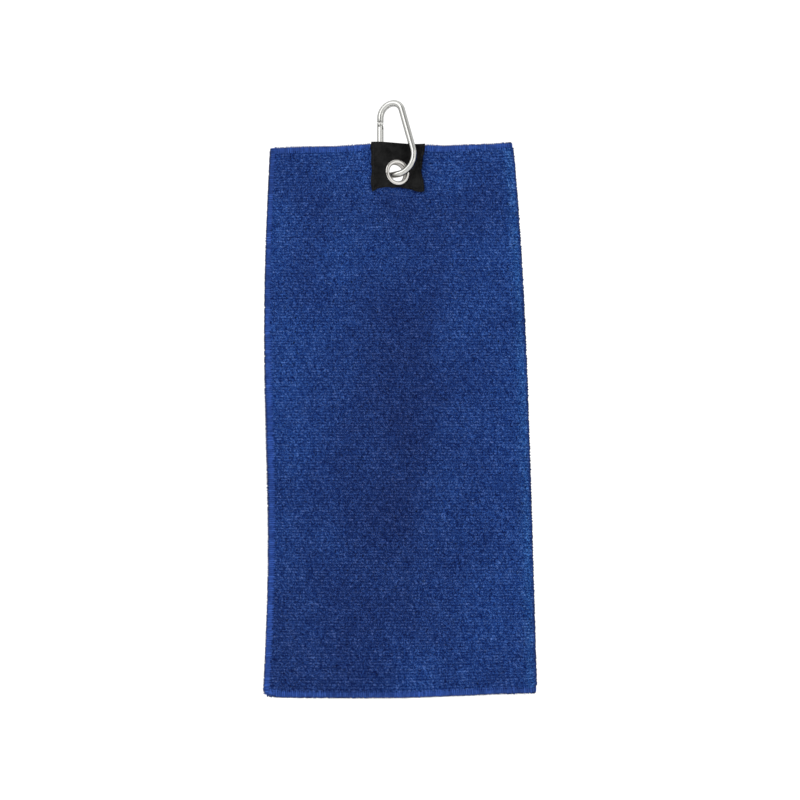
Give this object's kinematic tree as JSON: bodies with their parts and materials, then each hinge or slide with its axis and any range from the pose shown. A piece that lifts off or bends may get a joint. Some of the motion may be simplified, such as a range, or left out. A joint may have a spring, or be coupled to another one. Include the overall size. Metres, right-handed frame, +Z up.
{
  "type": "golf_towel",
  "caption": "Folded microfibre terry golf towel with a black reinforcing patch, a metal grommet and a wire carabiner for hanging it from a golf bag",
  "frame": {"origin": "inside of the carabiner's top bend, where the bag's ring bears", "axes": "+Z up with the towel hanging below, -Y towards the viewer of its front face, +X towards the folded edge"},
  "size_m": [0.1993, 0.0156, 0.4404],
  "materials": {
    "terry": "matte",
    "edge_thread": "matte",
    "patch_fabric": "matte",
    "patch_thread": "matte",
    "grommet_metal": "polished",
    "wire_metal": "gloss",
    "pin_metal": "satin"
  },
  "bodies": {
    "clip_frame": {"carabiner_frame": "wire_metal", "gate_hinge_pin": "pin_metal"},
    "clip_gate": {"carabiner_gate": "wire_metal", "gate_latch_pin": "pin_metal", "gate_plunger": "pin_metal", "gate_spring": "pin_metal"},
    "towel": {"towel_cloth": "terry", "overlock_top": "edge_thread", "overlock_bottom": "edge_thread", "overlock_front_edge": "edge_thread", "overlock_back_edge": "edge_thread", "reinforcing_patch": "patch_fabric", "patch_thread_front": "patch_thread", "patch_thread_back": "patch_thread", "grommet_eyelet": "grommet_metal", "grommet_washer": "grommet_metal"}
  },
  "joints": [
    {"name": "gate_hinge", "type": "hinge", "parent": "clip_frame", "child": "clip_gate", "pos_m": [-0.00948, 0.00402, -0.04425], "axis": [0.3907, 0.9205, 0], "range_deg": [0, 16], "stiffness_Nm_per_rad": 0.05, "springref_deg": -34.38},
    {"name": "towel_turn", "type": "hinge", "parent": "clip_frame", "child": "towel", "pos_m": [0.00263, -0.00112, -0.05115], "axis": [0, 0, 1], "range_deg": [0, 85]}
  ]
}
